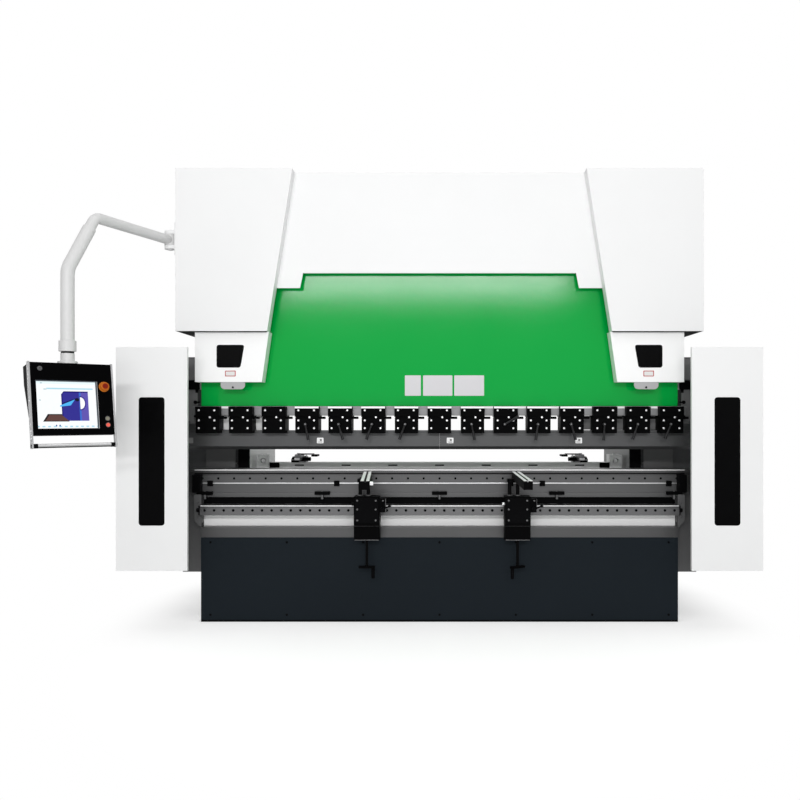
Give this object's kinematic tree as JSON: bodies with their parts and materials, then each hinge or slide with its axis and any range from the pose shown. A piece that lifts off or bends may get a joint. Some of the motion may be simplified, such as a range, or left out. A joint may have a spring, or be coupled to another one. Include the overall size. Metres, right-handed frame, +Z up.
{
  "type": "press brake",
  "caption": "Hydraulic press brake with a sliding ram over a long bed, sheet supports, side guards, a back gauge and a control head on a swivel arm.",
  "frame": {"origin": "middle of the bed beam's bottom face in X, on the floor, below the bend line", "axes": "+X along the bed to the right as the operator sees it, +Y away from the operator, +Z up"},
  "size_m": [4.1261, 2.4439, 2.833],
  "materials": {
    "white_paint": "powder coat, semi-gloss",
    "green_paint": "gloss",
    "anthracite_paint": "powder coat, semi-gloss",
    "grey_steel": "ground and oiled",
    "bright_steel": "ground",
    "frame_paint": "matt",
    "black_oxide": "black oxide",
    "black_plastic": "satin",
    "window_plastic": "dark tinted",
    "silver_aluminium": "anodised",
    "stop_red": "gloss",
    "button_grey": "satin",
    "button_red": "lit",
    "motor_blue": "satin"
  },
  "bodies": {
    "press_frame": {"bed_beam": "white_paint", "apron_panel": "anthracite_paint", "bed_ledge": "grey_steel", "support_rail": "bright_steel", "wedge_bar": "grey_steel", "table": "grey_steel", "left_side_frame": "frame_paint", "right_side_frame": "frame_paint", "upper_cross_beam": "frame_paint", "rear_tie_beam": "frame_paint", "left_ram_guide": "bright_steel", "right_ram_guide": "bright_steel", "left_cylinder": "frame_paint", "right_cylinder": "frame_paint", "top_panel": "white_paint", "left_head_cover": "white_paint", "right_head_cover": "white_paint", "left_cylinder_shroud": "white_paint", "right_cylinder_shroud": "white_paint", "left_guard_bracket": "frame_paint", "right_guard_bracket": "frame_paint", "left_gauge_rail": "bright_steel", "right_gauge_rail": "bright_steel", "oil_tank": "frame_paint", "pump_motor": "motor_blue", "valve_block": "bright_steel", "electrical_cabinet": "white_paint", "arm_bracket": "white_paint"},
    "ram_group": {"ram": "green_paint", "left_piston_rod": "bright_steel", "right_piston_rod": "bright_steel", "clamp_row": "black_oxide", "punch_1": "grey_steel", "punch_2": "grey_steel", "punch_3": "grey_steel", "punch_4": "grey_steel"},
    "left_guard_leaf": {"left_guard": "white_paint", "left_guard_window": "window_plastic"},
    "right_guard_leaf": {"right_guard": "white_paint", "right_guard_window": "window_plastic"},
    "gauge_slide": {"gauge_carriage": "bright_steel"},
    "gauge_bar": {"gauge_beam": "silver_aluminium"},
    "left_finger": {"left_gauge_finger": "grey_steel"},
    "right_finger": {"right_gauge_finger": "grey_steel"},
    "door": {"cabinet_door": "white_paint"},
    "control_arm": {"swivel_arm": "white_paint"},
    "head": {"control_head": "black_plastic", "head_handle": "silver_aluminium"},
    "stop_cap": {"emergency_stop": "stop_red"},
    "start_key": {"start_button": "button_grey"},
    "cycle_stop_key": {"cycle_stop_button": "button_red"},
    "left_support_body": {"left_support_carriage": "black_oxide"},
    "left_support_lift_body": {"left_support_arm": "black_oxide"},
    "left_crank_body": {"left_crank": "black_oxide"},
    "left_lever_body": {"left_lock_lever": "black_plastic"},
    "right_support_body": {"right_support_carriage": "black_oxide"},
    "right_support_lift_body": {"right_support_arm": "black_oxide"},
    "right_crank_body": {"right_crank": "black_oxide"},
    "right_lever_body": {"right_lock_lever": "black_plastic"}
  },
  "joints": [
    {"name": "ram_stroke", "type": "slide", "parent": "press_frame", "child": "ram_group", "axis": [0, 0, 1], "range_m": [-0.12, 0]},
    {"name": "left_guard_swing", "type": "hinge", "parent": "press_frame", "child": "left_guard_leaf", "pos_m": [-1.913, 0.425, 0.373], "axis": [0, 0, 1], "range_deg": [-90, 0]},
    {"name": "right_guard_swing", "type": "hinge", "parent": "press_frame", "child": "right_guard_leaf", "pos_m": [1.913, 0.425, 0.373], "axis": [0, 0, 1], "range_deg": [0, 90]},
    {"name": "gauge_depth", "type": "slide", "parent": "press_frame", "child": "gauge_slide", "axis": [0, 1, 0], "range_m": [-0.11, 0.35]},
    {"name": "gauge_height", "type": "slide", "parent": "gauge_slide", "child": "gauge_bar", "axis": [0, 0, 1], "range_m": [0, 0.08]},
    {"name": "left_finger_slide", "type": "slide", "parent": "gauge_bar", "child": "left_finger", "axis": [1, 0, 0], "range_m": [-0.15, 0.8]},
    {"name": "right_finger_slide", "type": "slide", "parent": "gauge_bar", "child": "right_finger", "axis": [1, 0, 0], "range_m": [-0.8, 0.15]},
    {"name": "cabinet_door_swing", "type": "hinge", "parent": "press_frame", "child": "door", "pos_m": [1.7023, 1.252, 0.5], "axis": [0, 0, 1], "range_deg": [0, 90]},
    {"name": "control_arm_swing", "type": "hinge", "parent": "press_frame", "child": "control_arm", "pos_m": [-1.695, -0.12, 2.4], "axis": [0, 0, 1], "range_deg": [-30, 30]},
    {"name": "control_head_swivel", "type": "hinge", "parent": "control_arm", "child": "head", "pos_m": [-2.003, -0.897, 1.64], "axis": [0, 0, 1], "range_deg": [-60, 60]},
    {"name": "emergency_stop_press", "type": "slide", "parent": "head", "child": "stop_cap", "axis": [-0.6461, 0.7432, -0.1736], "range_m": [0, 0.005], "stiffness_N_per_m": 2000, "springref_m": -0.002},
    {"name": "start_button_press", "type": "slide", "parent": "head", "child": "start_key", "axis": [-0.6461, 0.7432, -0.1736], "range_m": [0, 0.003], "stiffness_N_per_m": 500, "springref_m": -0.002},
    {"name": "cycle_stop_button_press", "type": "slide", "parent": "head", "child": "cycle_stop_key", "axis": [-0.6461, 0.7432, -0.1736], "range_m": [0, 0.003], "stiffness_N_per_m": 500, "springref_m": -0.002},
    {"name": "left_support_slide", "type": "slide", "parent": "press_frame", "child": "left_support_body", "axis": [1, 0, 0], "range_m": [-0.83, 0.3]},
    {"name": "left_support_lift", "type": "slide", "parent": "left_support_body", "child": "left_support_lift_body", "axis": [0, 0, 1], "range_m": [-0.03, 0.1]},
    {"name": "left_crank_turn", "type": "hinge", "parent": "left_support_body", "child": "left_crank_body", "pos_m": [-0.447, -0.245, 0.365], "axis": [0, 0, 1], "range_deg": [-1352, 4502]},
    {"name": "left_lever_turn", "type": "hinge", "parent": "left_support_body", "child": "left_lever_body", "pos_m": [-0.35, -0.2703, 0.725], "axis": [0, 1, 0], "range_deg": [-20, 90]},
    {"name": "right_support_slide", "type": "slide", "parent": "press_frame", "child": "right_support_body", "axis": [1, 0, 0], "range_m": [-0.3, 0.8]},
    {"name": "right_support_lift", "type": "slide", "parent": "right_support_body", "child": "right_support_lift_body", "axis": [0, 0, 1], "range_m": [-0.03, 0.1]},
    {"name": "right_crank_turn", "type": "hinge", "parent": "right_support_body", "child": "right_crank_body", "pos_m": [0.48, -0.245, 0.365], "axis": [0, 0, 1], "range_deg": [-1352, 4502]},
    {"name": "right_lever_turn", "type": "hinge", "parent": "right_support_body", "child": "right_lever_body", "pos_m": [0.577, -0.2703, 0.725], "axis": [0, 1, 0], "range_deg": [-20, 90]}
  ],
  "couplings": [
    {"joint": "left_crank_turn", "follows": "left_support_lift", "rad_per_m": 785.4},
    {"joint": "right_crank_turn", "follows": "right_support_lift", "rad_per_m": 785.4}
  ]
}
